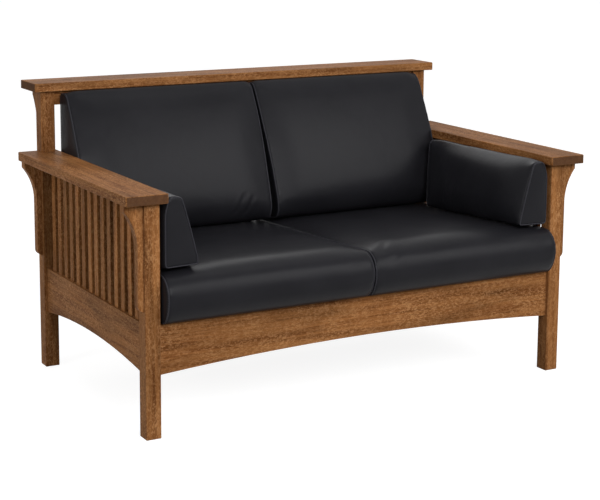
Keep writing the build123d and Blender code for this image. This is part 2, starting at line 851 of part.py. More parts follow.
def seat_slice(x, rolled, crowned, inset):
    """One slice across a seat cushion: flat below, level on top, rounded in front"""
    top = seat_thickness + rolled * seat_roll + crowned * seat_crown - inset
    nose = seat_nose + rolled * seat_nose_roll + crowned * seat_nose_crown
    nose_u = -seat_front_set - nose + inset
    rear = seat_rear - inset
    middle = (top + inset) / 2
    turn_u = nose_u + seat_front_round
    turn_v = top - seat_front_round
    diagonal = seat_front_round * 0.5**0.5
    under_run = -seat_front_set - nose_u
    under_drop = turn_v - inset
    under_radius = (under_run**2 + under_drop**2) / (2 * under_run)
    half_turn = asin(under_drop / under_radius) / 2
    with BuildSketch(seat_plane.offset(x)) as outline:
        with BuildLine():
            Line((-seat_front_set, inset), (rear, inset))
            ThreePointArc((rear, inset), (rear + seat_rear_bulge, middle), (rear, top))
            Line((rear, top), (turn_u, top))
            ThreePointArc((turn_u, top), (turn_u - diagonal, turn_v + diagonal), (nose_u, turn_v))
            ThreePointArc(
                (nose_u, turn_v),
                (
                    nose_u + under_radius * (1 - cos(half_turn)),
                    turn_v - under_radius * sin(half_turn),
                ),
                (-seat_front_set, inset),
            )
        make_face()
    return outline.sketch.face()


def seat_form(inset, mode=Mode.ADD):
    """A seat cushion's body, drawn in by an inset all round"""
    slices = cushion_slices(-inner_x + seat_end_gap, -seat_middle_gap, seat_roll_width, inset)
    loft([seat_slice(x, rolled, crowned, inset) for x, rolled, crowned in slices], mode=mode)


# Back cushions stand on the seat cushions and lean on the back slats
back_cushion_rear_y = back_rail_inner_y - back_cushion_rear_gap
seat_top_rise = (seat_thickness + seat_roll + seat_crown) / cos(slope) + 2 * cushion_gap


def seat_top(y):
    """Height just clear of the highest line along the seat cushions"""
    return deck_height(y) + seat_top_rise


def back_slice(x, rolled, crowned, inset):
    """One slice across a back cushion: deep below, thin above, bellied in front"""
    swell = rolled * back_cushion_roll + crowned * back_cushion_crown
    rear = back_cushion_rear_y - inset
    base = back_cushion_rear_y - back_cushion_base_depth - swell / 2 + inset
    top = cap_bottom - back_cushion_top_gap - inset
    shoulder = back_cushion_rear_y - back_cushion_top_depth - swell / 2 + inset
    shoulder_height = top - back_cushion_top_round
    round_end = base + back_cushion_base_round
    low_front = seat_top(round_end) + inset
    low_rear = seat_top(rear) + inset
    base_height = low_front + back_cushion_base_round
    belly_y = (base + shoulder) / 2 - back_cushion_belly - swell / 2
    belly_height = (base_height + shoulder_height) / 2
    round_share = 1 - 0.5**0.5
    with BuildSketch(Plane.YZ.offset(x)) as outline:
        with BuildLine():
            Line((round_end, low_front), (rear, low_rear))
            Line((rear, low_rear), (rear, shoulder_height))
            ThreePointArc((rear, shoulder_height), ((rear + shoulder) / 2, top), (shoulder, shoulder_height))
            ThreePointArc((shoulder, shoulder_height), (belly_y, belly_height), (base, base_height))
            ThreePointArc(
                (base, base_height),
                (base + back_cushion_base_round * round_share, low_front + back_cushion_base_round * round_share),
                (round_end, low_front),
            )
        make_face()
    return outline.sketch.face()


def back_form(inset, mode=Mode.ADD):
    """A back cushion's body, drawn in by an inset all round"""
    start = -inner_x + back_cushion_end_gap
    slices = cushion_slices(start, -back_cushion_middle_gap, back_cushion_roll_width, inset)
    loft([back_slice(x, rolled, crowned, inset) for x, rolled, crowned in slices], mode=mode)


# Arm cushions stand on the ends of the seat cushions, inside the arms
arm_cushion_length = frame_depth - arm_cushion_rear_set


def arm_slice(along, rolled, crowned, inset):
    """One slice across an arm cushion: wide below, narrow above, leaning back with its end"""
    share = along / arm_cushion_length
    lean = radians(arm_cushion_rear_lean) * share
    foot_y = front_y + along
    foot = seat_top(foot_y) + arm_cushion_lift + inset / cos(lean)
    drop = arm_cushion_front_drop + (arm_cushion_rear_drop - arm_cushion_front_drop) * share
    height = arm_height - drop - seat_top(foot_y) - arm_cushion_lift - 2 * inset
    draw = (1 - rolled) * arm_cushion_roll
    belly = arm_cushion_end_belly + arm_cushion_roll_belly * rolled + arm_cushion_crown * crowned
    outer_foot = arm_cushion_outer_gap + draw + inset
    inner_foot = arm_cushion_base_width - draw - inset
    outer_top = arm_cushion_top_start + draw / 2 + inset
    inner_top = arm_cushion_top_end - draw / 2 - inset
    top = height / cos(lean) - draw / 2
    shoulder = top - arm_cushion_shoulder / cos(lean)
    inner_low = draw / 2
    outer_low = inner_low - (inner_foot - outer_foot) * tan(radians(arm_cushion_foot_slant))
    plane = Plane(
        origin=(-inner_x, foot_y, foot),
        x_dir=(1, 0, 0),
        z_dir=(0, -cos(lean), sin(lean)),
    )
    with BuildSketch(plane) as outline:
        with BuildLine():
            Line((outer_foot, outer_low), (inner_foot, inner_low))
            ThreePointArc(
                (inner_foot, inner_low),
                ((inner_foot + inner_top) / 2 + belly, (inner_low + top) / 2),
                (inner_top, top),
            )
            ThreePointArc(
                (inner_top, top),
                ((inner_top + outer_top) / 2, top + arm_cushion_top_bulge),
                (outer_top, top),
            )
            ThreePointArc(
                (outer_top, top),
                ((outer_top + outer_foot) / 2 - arm_cushion_outer_bulge, (top + shoulder) / 2),
                (outer_foot, shoulder),
            )
            Line((outer_foot, shoulder), (outer_foot, outer_low))
        make_face()
    return outline.sketch.face()


def arm_form(inset, mode=Mode.ADD):
    """An arm cushion's body, drawn in by an inset all round"""
    slices = cushion_slices(0, arm_cushion_length, arm_cushion_roll_length, inset)
    loft([arm_slice(along, rolled, crowned, inset) for along, rolled, crowned in slices], mode=mode)


for label, form in (
    ("seat_cushion", seat_form),
    ("back_cushion", back_form),
    ("arm_cushion", arm_form),
):
    with BuildPart() as cover:
        form(0)
        form(cover_wall, Mode.SUBTRACT)
    finish_pair(cover, f"{label}_cover")
    with BuildPart() as core:
        form(cover_wall + core_gap)
    finish_pair(core, f"{label}_core")
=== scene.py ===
import bpy
import bmesh
import math
from mathutils import Matrix, Vector
from mathutils.bvhtree import BVHTree
from mathutils.kdtree import KDTree


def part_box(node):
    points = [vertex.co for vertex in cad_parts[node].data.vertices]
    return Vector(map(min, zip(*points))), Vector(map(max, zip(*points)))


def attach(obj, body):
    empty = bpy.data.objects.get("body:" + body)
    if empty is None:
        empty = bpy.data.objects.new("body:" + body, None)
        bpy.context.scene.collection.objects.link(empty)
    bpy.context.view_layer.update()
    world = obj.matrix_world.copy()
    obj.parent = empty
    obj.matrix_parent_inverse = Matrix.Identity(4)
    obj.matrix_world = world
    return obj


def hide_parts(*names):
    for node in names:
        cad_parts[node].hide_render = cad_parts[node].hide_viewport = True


# Mission settle: oak frame from the CAD model, leather cushions made here
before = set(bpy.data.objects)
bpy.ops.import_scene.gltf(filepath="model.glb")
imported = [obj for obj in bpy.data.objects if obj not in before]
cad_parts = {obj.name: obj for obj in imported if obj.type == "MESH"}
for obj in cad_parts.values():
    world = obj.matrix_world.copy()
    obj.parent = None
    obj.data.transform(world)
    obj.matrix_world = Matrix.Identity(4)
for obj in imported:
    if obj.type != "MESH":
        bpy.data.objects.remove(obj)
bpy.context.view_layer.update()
print("frame loaded")


# Shader maths

class Wire:  # a node's output that can be used in sums
    def __init__(self, graph, socket):
        self.graph = graph
        self.socket = socket

    def maths(self, operation, first, second):
        return self.graph.add("ShaderNodeMath", {"operation": operation}, {0: first, 1: second})

    def __add__(self, other):
        return self.maths("ADD", self, other)

    def __radd__(self, other):
        return self.maths("ADD", other, self)

    def __sub__(self, other):
        return self.maths("SUBTRACT", self, other)

    def __rsub__(self, other):
        return self.maths("SUBTRACT", other, self)

    def __mul__(self, other):
        return self.maths("MULTIPLY", self, other)

    def __rmul__(self, other):
        return self.maths("MULTIPLY", other, self)

    def __truediv__(self, other):
        return self.maths("DIVIDE", self, other)


class Graph:  # one material and its nodes
    def __init__(self, name):
        self.material = bpy.data.materials.new(name)
        self.material.use_nodes = True
        self.tree = self.material.node_tree
        self.shader = self.tree.nodes["Principled BSDF"]

    def feed(self, socket, value):
        if isinstance(value, Wire):
            self.tree.links.new(value.socket, socket)
        elif isinstance(value, tuple) and len(value) == 3 and socket.type == "RGBA":
            socket.default_value = (*value, 1)
        else:
            socket.default_value = value

    def add(self, kind, settings=None, inputs=None, out=0):
        node = self.tree.nodes.new(kind)
        for key, value in (settings or {}).items():
            if key == "stops":
                ramp = node.color_ramp
                while len(ramp.elements) < len(value):
                    ramp.elements.new(0.5)
                for element, (place, tone) in zip(ramp.elements, value):
                    element.position = place
                    element.color = (tone, tone, tone, 1)
            else:
                setattr(node, key, value)
        for key, value in (inputs or {}).items():
            self.feed(node.inputs[key], value)
        return Wire(self, node.outputs[out])

    def set(self, name, value):
        self.feed(self.shader.inputs[name], value)

    def place(self):
        return self.add("ShaderNodeTexCoord", out="Object")

    def parts(self, vector):
        node = self.tree.nodes.new("ShaderNodeSeparateXYZ")
        self.feed(node.inputs[0], vector)
        return [Wire(self, socket) for socket in node.outputs]

    def noise(self, vector, scale, detail=2.0, rough=0.5, warp=0.0):
        return self.add("ShaderNodeTexNoise", {}, {
            "Vector": vector, "Scale": scale, "Detail": detail, "Roughness": rough, "Distortion": warp})

    def stretch(self, vector, factors):
        return self.add("ShaderNodeVectorMath", {"operation": "MULTIPLY"}, {0: vector, 1: factors})

    def shift(self, vector, offset):
        return self.add("ShaderNodeVectorMath", {"operation": "ADD"}, {0: vector, 1: offset})

    def ramp(self, value, stops):
        return self.add("ShaderNodeValToRGB", {"stops": stops}, {0: value})

    def blend(self, factor, first, second, how="MIX"):
        settings = {"data_type": "RGBA", "blend_type": how}
        return self.add("ShaderNodeMix", settings, {0: factor, 6: first, 7: second}, 2)

    def tinted(self, colour, strength):
        return self.blend(1.0, colour, (strength, strength, strength), "MULTIPLY")

    def bump(self, height, strength, distance, under=None):
        inputs = {"Strength": strength, "Distance": distance, "Height": height}
        if under is not None:
            inputs["Normal"] = under
        return self.add("ShaderNodeBump", {}, inputs)


# Oak, quarter-sawn and stained a mid brown under a satin lacquer
oak = {
    "dark": (0.150, 0.053, 0.0155),
    "mid": (0.290, 0.121, 0.0390),
    "light": (0.440, 0.220, 0.0920),
    "pore": (0.060, 0.021, 0.0080),
    "endGrain": (0.080, 0.048, 0.0300),
    "roughness": 0.44,
    "gloss": 0.02,
    "figure": 0.75,  # how strongly the ray flecks show
    "poreDepth": 0.6,
    "endDepth": 0.85,  # how fully the cut ends take their own colour
    "relief": 0.0005,
}
# How often a metre each part of the figure changes, along the board and across it
figure = {
    "drift": (2.2, 14, 14),
    "lines": (7, 420, 420),
    "bands": (2.6, 70, 70),
    "rays": (110, 230, 230),
    "raysWide": (36, 62, 62),
    "rayPlace": (5, 14, 14),
    "pores": (85, 1500, 1500),
    "rings": (1, 300, 700),
}


def oakBoard(name, axis, seed, slatPitch=None, slatAxis=0, tone=1.0):
    g = Graph(name)
    part = g.parts(g.place())
    facing = g.parts(g.add("ShaderNodeTexCoord", out="Normal"))
    order = {"X": (0, 1, 2), "Y": (1, 0, 2), "Z": (2, 0, 1)}[axis]
    along = g.add("ShaderNodeCombineXYZ", {}, {i: part[order[i]] for i in range(3)})
    along = g.shift(along, (seed * 1.37, seed * 0.71, seed * 0.43))
    board = None
    if slatPitch:  # each slat comes from its own board
        count = g.add("ShaderNodeMath", {"operation": "FLOOR"}, {
            0: part[slatAxis] / slatPitch + 100.5 + seed * 7})
        board = g.add("ShaderNodeTexWhiteNoise", {"noise_dimensions": "1D"}, {"W": count})
        jump = g.add("ShaderNodeCombineXYZ", {}, {0: board * 9.0, 1: board * 5.0, 2: board * 3.0})
        along = g.shift(along, jump)
    drift = g.noise(g.stretch(along, figure["drift"]), 1.0, 3, 0.55, 0.5)
    lines = g.noise(g.stretch(along, figure["lines"]), 1.0, 4, 0.6, 0.3)
    bands = g.noise(g.stretch(along, figure["bands"]), 1.0, 3, 0.55, 0.6)
    rays = g.noise(g.stretch(along, figure["rays"]), 1.0, 3, 0.6, 0.8)
    raysWide = g.noise(g.stretch(along, figure["raysWide"]), 1.0, 3, 0.6, 1.8)
    rayPlace = g.noise(g.stretch(along, figure["rayPlace"]), 1.0, 2)
    pores = g.noise(g.stretch(along, figure["pores"]), 1.0, 2, 0.6)
    rings = g.noise(g.stretch(along, figure["rings"]), 1.0, 3)
    fleck = g.ramp(rays, [(0.50, 0), (0.59, 1)]) * g.ramp(rayPlace, [(0.36, 0.35), (0.58, 1)])
    fleckWide = g.ramp(raysWide, [(0.53, 0), (0.60, 1)])
    grain = lines * 0.45 + bands * 0.55
    colour = g.blend(g.ramp(grain, [(0.41, 0), (0.57, 1)]), oak["dark"], oak["mid"])
    colour = g.blend(fleck * oak["figure"], colour, oak["light"])
    colour = g.blend(fleckWide * (oak["figure"] * 0.4), colour, oak["light"])
    poreMask = g.ramp(pores, [(0.30, 1), (0.42, 0)])
    colour = g.blend(poreMask * oak["poreDepth"], colour, oak["pore"])
    shade = g.ramp(drift, [(0.34, 0.62), (0.58, 1.0)])
    colour = g.blend(1.0, colour, shade, "MULTIPLY")
    if board is not None:
        each = board * 0.45 + 0.75
        warm = g.add("ShaderNodeCombineColor", {}, {0: each * 1.02, 1: each, 2: each * 0.96})
        colour = g.blend(1.0, colour, warm, "MULTIPLY")
    if tone != 1.0:
        colour = g.tinted(colour, tone)
    cut = g.add("ShaderNodeMath", {"operation": "ABSOLUTE"}, {0: facing["XYZ".index(axis)]})
    endMask = g.ramp(cut, [(0.80, 0), (0.95, 1)])
    endColour = g.blend(rings, oak["endGrain"], oak["pore"])
    g.set("Base Color", g.blend(endMask * oak["endDepth"], colour, endColour))
    satin = g.ramp(lines, [(0.3, oak["roughness"] + 0.10), (0.7, oak["roughness"] - 0.04)])
    g.set("Roughness", satin + endMask * 0.15)
    g.set("Specular IOR Level", oak["gloss"])
    height = grain * 0.5 - poreMask * 0.5 + fleck * 0.12
    g.set("Normal", g.bump(height, 0.3, oak["relief"]))
    return g.material


oakNodes = {
    "X": ["back_cap_rail", "front_rail", "upper_back_rail", "lower_back_rail", "front_cleat", "back_cleat"],
    "Y": ["arm_left", "arm_right", "lower_side_rail_left", "lower_side_rail_right", "upper_side_rail_left",
          "upper_side_rail_right"],
    "Z": ["front_post_left", "front_post_right", "back_post_left", "back_post_right",
          "front_corbel_left", "front_corbel_right", "rear_corbel_left", "rear_corbel_right",
          "cap_corbel_left", "cap_corbel_right", "front_corner_block_left", "front_corner_block_right",
          "rear_corner_block_left", "rear_corner_block_right"],
}


def dress(nodeName, material):
    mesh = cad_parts[nodeName].data
    mesh.materials.clear()
    mesh.materials.append(material)


seed = 1
for axis, names in oakNodes.items():
    for name in names:
        dress(name, oakBoard(name + "Oak", axis, seed))
        seed += 1
slats = {  # distances from slat to slat
    "side": 0.0484,
    "back": 0.0486,
    "deck": 0.1333,
    "tone": 1.1,  # the upright slats are a little lighter than the rest
}
dress("side_slats_left", oakBoard("sideSlatsLeftOak", "Z", 41, slats["side"], 1, slats["tone"]))
dress("side_slats_right", oakBoard("sideSlatsRightOak", "Z", 43, slats["side"], 1, slats["tone"]))
dress("back_slats", oakBoard("backSlatsOak", "Z", 45, slats["back"], 0, slats["tone"]))
dress("deck_slats", oakBoard("deckSlatsOak", "Y", 47, slats["deck"], 0))


# Small hidden things: the darker and lighter tone of screws, dowels and foam
fittings = {
    "steel": ((0.42, 0.42, 0.40), (0.62, 0.61, 0.58)),
    "birch": ((0.50, 0.33, 0.17), (0.66, 0.48, 0.28)),
    "foam": ((0.66, 0.61, 0.46), (0.84, 0.79, 0.64)),
}


def plainSteel():
    g = Graph("screwSteel")
    wear = g.noise(g.place(), 400.0, 3)
    g.set("Base Color", g.blend(wear, *fittings["steel"]))
    g.set("Metallic", 1.0)
    g.set("Roughness", wear * 0.3 + 0.25)
    return g.material


def plainBirch():
    g = Graph("dowelBirch")
    grain = g.noise(g.stretch(g.place(), (60, 900, 900)), 1.0, 3)
    g.set("Base Color", g.blend(grain, *fittings["birch"]))
    g.set("Roughness", grain * 0.2 + 0.5)
    return g.material


def openFoam():
    g = Graph("foam")
    cells = g.noise(g.place(), 700.0, 3, 0.7)
    g.set("Base Color", g.blend(cells, *fittings["foam"]))
    g.set("Roughness", 0.95)
    g.set("Normal", g.bump(cells, 0.6, 0.001))
    return g.material


for name in ("arm_screws", "cap_screws", "cleat_screws", "deck_screws", "corner_block_screws"):
    dress(name, plainSteel())
dress("corbel_dowels", plainBirch())
foam = openFoam()
for kind in ("seat", "back", "arm"):
    for side in ("left", "right"):
        dress(f"{kind}_cushion_core_{side}", foam)
print("oak and hidden fittings finished")


# Leather, soft and semi-matt black with a fine pebbled grain
leather = {
    "deep": (0.0096, 0.0094, 0.0114),
    "worn": (0.0122, 0.0119, 0.0143),
    "roughness": 0.34,
    "gloss": 0.085,
    "grain": 0.18,  # strength of the pebbled grain
    "grainDepth": 0.0006,
    "pebbles": 620.0,  # how many a metre
    "ripple": 0.14,  # strength of the slack ripples
    "rippleDepth": 0.004,
    "seamHighlight": 2.6,  # painted highlight: how much lighter the leather is made where it is rolled over a seam, for the glint along the ridge
}


def hide(name, seed, lighter=1.0):
    g = Graph(name)
    place = g.shift(g.place(), (seed * 0.37, seed * 0.61, seed * 0.29))
    cloud = g.noise(place, 7.0, 3, 0.55)
    pebble = g.add("ShaderNodeTexVoronoi", {"feature": "F1"}, {
        "Vector": place, "Scale": leather["pebbles"]})
    fine = g.noise(place, 1500.0, 2, 0.6)
    ripple = g.noise(g.stretch(place, (26, 26, 18)), 1.0, 2, 0.5, 0.6)
    colour = g.blend(g.ramp(cloud, [(0.35, 0), (0.7, 1)]), leather["deep"], leather["worn"])
    if lighter != 1.0:
        colour = g.tinted(colour, lighter)
    g.set("Base Color", colour)
    g.set("Roughness", cloud * 0.10 + fine * 0.08 + (leather["roughness"] - 0.09))
    g.set("Specular IOR Level", leather["gloss"])
    soft = g.bump(ripple, leather["ripple"], leather["rippleDepth"])
    pebbled = pebble * -0.7 + fine * 0.3
    g.set("Normal", g.bump(pebbled, leather["grain"], leather["grainDepth"], soft))
    return g.material


# Cushions
cushion = {
    "voxel": 0.0085,
    "seamStep": 0.012,  # from point to point of a seam
    "softening": 14,  # rounds of smoothing away from the seams
    "evening": 70,  # more rounds on the broad faces
    "groove": 0.0013,  # how deep the seams lie
    "weltRadius": 0.0021,
    "weltProud": 0.0008,  # how far the middle of the rolled seam stands off the skin
    "fill": 0.8,  # 0 is slack, 1 is tight
}
# The leather as a cloth skin, blown up from inside
skinCloth = {
    "frames": 12,
    "pressure": 4.0,
    "slack": 0.003,  # how far the shape is drawn in before it is blown up
    "hollow": 0.002,  # the most that a point may end up inside the plain form
    "hold": 0.010,  # how far from a seam the skin is still held
    "mass": 0.3,
    "stretch": 18,
    "shear": 8,
    "bending": 1.2,
    "quality": 4,
}
seamReach = 0.03  # over this distance a seam's crispness fades
# Where the pieces meet: the left arm cushion's inner edge, the back cushions' front, the cap rail's edge
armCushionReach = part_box("arm_cushion_cover_left")[1][0]
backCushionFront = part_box("back_cushion_cover_left")[0][1]
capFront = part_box("back_cap_rail")[0][1]
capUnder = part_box("back_cap_rail")[0][2]
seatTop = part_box("back_cushion_cover_left")[0][2]


def linked(name, data):
    obj = bpy.data.objects.new(name, data)
    bpy.context.scene.collection.objects.link(obj)
    return obj


def shadeSmooth(mesh):
    for polygon in mesh.polygons:
        polygon.use_smooth = True


def outerShell(nodeName):
    # The outside of a cushion cover, without the lining round its foam
    bm = bmesh.new()
    bm.from_mesh(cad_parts[nodeName].data)
    bmesh.ops.remove_doubles(bm, verts=bm.verts[:], dist=0.00001)
    left = set(bm.verts)
    islands = []
    while left:
        start = left.pop()
        island, queue = {start}, [start]
        while queue:
            for edge in queue.pop().link_edges:
                for v in edge.verts:
                    if v not in island:
                        island.add(v)
                        queue.append(v)
        left -= island
        islands.append(island)
    islands.sort(key=lambda s: max(v.co.z for v in s) - min(v.co.z for v in s))
    inner = [v for island in islands[:-1] for v in island]
    bmesh.ops.delete(bm, geom=inner, context="VERTS")
    bmesh.ops.recalc_face_normals(bm, faces=bm.faces[:])
    return bm


def seamLoop(bm, direction):
    # The corners, in order, of the flat panel that faces a direction
    bm.normal_update()
    panel = {f for f in bm.faces if f.normal.dot(direction) > 0.9995}
    rim = [e for e in bm.edges if len([f for f in e.link_faces if f in panel]) == 1]
    links = {}
    for e in rim:
        a, b = e.verts
        links.setdefault(a, []).append(b)
        links.setdefault(b, []).append(a)
    start = max(links, key=lambda v: v.co.z)
    loop, last, here = [start.co.copy()], None, start
    while True:
        ahead = [v for v in links[here] if v is not last]
        last, here = here, ahead[0]
        if here is start:
            break
        loop.append(here.co.copy())
    return loop


def evenSteps(loop, step):
    lengths = [(loop[i - 1] - loop[i]).length for i in range(1, len(loop))]
    lengths.append((loop[-1] - loop[0]).length)
    total = sum(lengths)
    count = max(12, round(total / step))
    points, i, run = [], 0, 0.0
    for n in range(count):
        want = total * n / count
        while run + lengths[i] < want:
            run += lengths[i]
            i += 1
        a, b = loop[i], loop[(i + 1) % len(loop)]
        points.append(a.lerp(b, (want - run) / max(lengths[i], 1e-9)))
    return points


def applied(obj):
    graph = bpy.context.evaluated_depsgraph_get()
    mesh = bpy.data.meshes.new_from_object(obj.evaluated_get(graph))
    obj.modifiers.clear()
    old = obj.data
    obj.data = mesh
    bpy.data.meshes.remove(old)


def smoothstep(low, high, value):
    t = min(1.0, max(0.0, (value - low) / (high - low)))
    return t * t * (3 - 2 * t)


def seamFinder(loops):
    points = [p for loop in loops for p in loop]
    tree = KDTree(len(points))
    for i, p in enumerate(points):
        tree.insert(p, i)
    tree.balance()
    return tree


def soften(obj, seams):
    # Round the form off, but leave it crisp at its seams
    group = obj.vertex_groups.new(name="soft")
    for v in obj.data.vertices:
        group.add([v.index], smoothstep(0.0, seamReach, seams.find(v.co)[2]), "REPLACE")
    smoothed(obj, cushion["softening"])


def smoothed(obj, rounds):
    smooth = obj.modifiers.new("smooth", "SMOOTH")
    smooth.factor = 0.5
    smooth.iterations = rounds
    smooth.vertex_group = "soft"
    applied(obj)
    obj.vertex_groups.clear()
    obj.data.update()


def evenOut(obj, seams, broad):
    # Take the waves out of the broad faces; broad says from a normal how much each point counts
    group = obj.vertex_groups.new(name="soft")
    for v in obj.data.vertices:
        away = smoothstep(0.005, 0.04, seams.find(v.co)[2])
        group.add([v.index], broad(v.normal) * away, "REPLACE")
    smoothed(obj, cushion["evening"])


def blowUp(obj, seams, freedom):
    # A cloth skin, held at its seams, is blown up a little; freedom says how far each point may move
    rest = [v.co.copy() for v in obj.data.vertices]
    normals = [v.normal.copy() for v in obj.data.vertices]
    group = obj.vertex_groups.new(name="seam")
    for v, normal in zip(obj.data.vertices, normals):
        distance = seams.find(v.co)[2]
        group.add([v.index], max(0.0, 1 - distance / skinCloth["hold"]), "REPLACE")
        v.co -= normal * skinCloth["slack"] * smoothstep(0.0, seamReach, distance)
    skin = obj.modifiers.new("skin", "CLOTH")
    skin.settings.quality = skinCloth["quality"]
    skin.settings.mass = skinCloth["mass"]
    skin.settings.tension_stiffness = skinCloth["stretch"]
    skin.settings.compression_stiffness = skinCloth["stretch"]
    skin.settings.shear_stiffness = skinCloth["shear"]
    skin.settings.bending_stiffness = skinCloth["bending"]
    skin.settings.use_pressure = True
    skin.settings.uniform_pressure_force = skinCloth["pressure"]
    skin.settings.vertex_group_mass = "seam"
    skin.settings.effector_weights.gravity = 0
    skin.collision_settings.use_collision = False
    skin.point_cache.frame_start = 1
    skin.point_cache.frame_end = skinCloth["frames"]
    for n in range(1, skinCloth["frames"] + 1):
        bpy.context.scene.frame_set(n)
    applied(obj)
    bpy.context.scene.frame_set(1)
    obj.vertex_groups.clear()
    for v, start, normal in zip(obj.data.vertices, rest, normals):
        move = v.co - start
        most = freedom(start, normal)
        if move.length > most:
            move *= most / move.length
        out = move.dot(normal)
        if out < -skinCloth["hollow"]:
            move -= normal * (out + skinCloth["hollow"])
        v.co = start + move


def crease(obj, start, end, width, depth):
    # A soft valley between two points, fading at both ends, with a low ridge on each side
    surface = BVHTree.FromObject(obj, bpy.context.evaluated_depsgraph_get())
    start, end = (surface.find_nearest(Vector(p))[0] for p in (start, end))
    line = end - start
    length = line.length
    along = line / length
    normals = [v.normal.copy() for v in obj.data.vertices]
    for v, normal in zip(obj.data.vertices, normals):
        step = v.co - start
        t = step.dot(along) / length
        if -0.15 < t < 1.15:
            off = (step - along * step.dot(along)).length
            if off < width * 4:
                fade = smoothstep(-0.15, 0.25, t) * (1 - smoothstep(0.55, 1.15, t))
                valley = math.exp(-(off / width) ** 2)
                ridge = math.exp(-((off - 1.8 * width) / width) ** 2)
                v.co -= normal * depth * (valley - 0.5 * ridge) * fade


def welt(name, points, obj, material, body):
    # The rolled seam along the edge of a panel
    surface = BVHTree.FromObject(obj, bpy.context.evaluated_depsgraph_get())
    curve = bpy.data.curves.new(name, "CURVE")
    curve.dimensions = "3D"
    curve.bevel_depth = cushion["weltRadius"]
    curve.bevel_resolution = 2
    spline = curve.splines.new("NURBS")
    spline.points.add(len(points) - 1)
    for target, p in zip(spline.points, points):
        near, normal, _, _ = surface.find_nearest(p)
        target.co = (*(near + normal * cushion["weltProud"]), 1)
    spline.use_cyclic_u = True
    spline.order_u = 3
    draft = linked(name, curve)
    mesh = bpy.data.meshes.new_from_object(draft)
    bpy.data.objects.remove(draft)
    roll = linked(name, mesh)
    shadeSmooth(mesh)
    mesh.materials.clear()
    mesh.materials.append(material)
    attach(roll, body)


def groove(mesh, seams):
    # The skin is drawn in along its seams
    normals = [v.normal.copy() for v in mesh.vertices]
    for v, normal in zip(mesh.vertices, normals):
        v.co -= normal * cushion["groove"] * (1 - smoothstep(0.001, 0.008, seams.find(v.co)[2]))


def blownForm(kind, seamSides, freedom, broad, shape):
    # The left cushion of a pair, with the lines of its seams
    bm = outerShell(f"{kind}_cushion_cover_left")
    loops = [evenSteps(seamLoop(bm, direction), cushion["seamStep"]) for direction in seamSides]
    mesh = bpy.data.meshes.new(kind + "Form")
    bm.to_mesh(mesh)
    bm.free()
    obj = linked(kind + "Form", mesh)
    remesh = obj.modifiers.new("skin", "REMESH")
    remesh.mode = "VOXEL"
    remesh.voxel_size = cushion["voxel"]
    applied(obj)
    seams = seamFinder(loops)
    soften(obj, seams)
    evenOut(obj, seams, broad)
    blowUp(obj, seams, freedom)
    evenOut(obj, seams, broad)
    if shape:
        for v in obj.data.vertices:
            v.co = shape(v.co)
        loops = [[shape(p) for p in loop] for loop in loops]
    shadeSmooth(obj.data)
    finer = obj.modifiers.new("finer", "SUBSURF")
    finer.levels = 1
    finer.render_levels = 1
    applied(obj)
    mesh = obj.data
    bpy.data.objects.remove(obj)
    mesh.update()
    groove(mesh, seamFinder([evenSteps(loop, 0.003) for loop in loops]))
    return mesh, loops


def makePair(kind, values, seamSides, freedom, broad, shape=None):
    form, loops = blownForm(kind, seamSides, freedom, broad, shape)
    for side, sign in (("left", 1), ("right", -1)):
        name = f"{kind}Cushion{side.capitalize()}"
        body = f"{kind}_cushion_{side}"
        bm = bmesh.new()
        bm.from_mesh(form)
        for v in bm.verts:
            v.co.x *= sign
        if sign < 0:
            bmesh.ops.reverse_faces(bm, faces=bm.faces[:])
        mesh = bpy.data.meshes.new(name)
        bm.to_mesh(mesh)
        bm.free()
        obj = linked(name, mesh)
        mesh.update()
        for start, end, width, depth in values["creases"].get(side, []):
            crease(obj, start, end, width, depth)
            mesh.update()
        shadeSmooth(mesh)
        seed = len(bpy.data.materials)
        mesh.materials.clear()
        mesh.materials.append(hide(name + "Leather", seed))
        # The rolled seams get a lighter copy of the leather, a painted highlight along each ridge
        seamHighlight = hide(name + "Edging", seed, leather["seamHighlight"])
        for n, loop in enumerate(loops):
            points = [Vector((p.x * sign, p.y, p.z)) for p in loop]
            welt(f"{name}Seam{n + 1}", points, obj, seamHighlight, body)
        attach(obj, body)
        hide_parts(f"{kind}_cushion_cover_{side}", f"{kind}_cushion_core_{side}")
        print(name, "made,", len(mesh.polygons), "faces")
    bpy.data.meshes.remove(form)


# The seat cushions; each crease gives its start, end, width and depth
seatCushion = {
    "still": 0.0002,  # how far a point moves where another piece presses on it
    "puff": 0.004,  # how much further it may move on the open top
    "frontPuff": 0.7,  # the front's share of that
    "close": 0.0007,  # how far each seat leans to its neighbour
    "creases": {
        "right": [((0.030, -0.420, 0.425), (0.100, -0.360, 0.452), 0.010, 0.0016),
                  ((0.060, -0.440, 0.415), (0.150, -0.390, 0.448), 0.009, 0.0012)],
    },
}


def endless(normal):
    # 1 on the long faces, 0 on the end panels
    return 1 - smoothstep(0.6, 0.9, abs(normal.x))


def seatBroad(normal):
    return smoothstep(-0.1, 0.4, normal.z) * (1 - smoothstep(0.5, 0.9, normal.y))


def seatFreedom(start, normal):
    uncovered = smoothstep(armCushionReach - 0.01, armCushionReach + 0.06, start.x)
    uncovered *= 1 - smoothstep(backCushionFront - 0.16, backCushionFront - 0.02, start.y)
    upper = smoothstep(-0.4, 0.3, normal.z) * endless(normal)
    front = smoothstep(0.3, 0.9, -normal.y) * smoothstep(-0.4, 0.0, normal.z)
    share = max(uncovered * upper, seatCushion["frontPuff"] * front * endless(normal))
    return seatCushion["still"] + seatCushion["puff"] * share


def seatShape(p):
    close = seatCushion["close"] * smoothstep(-0.06, -0.01, p.x)
    return Vector((p.x + close, p.y, p.z))


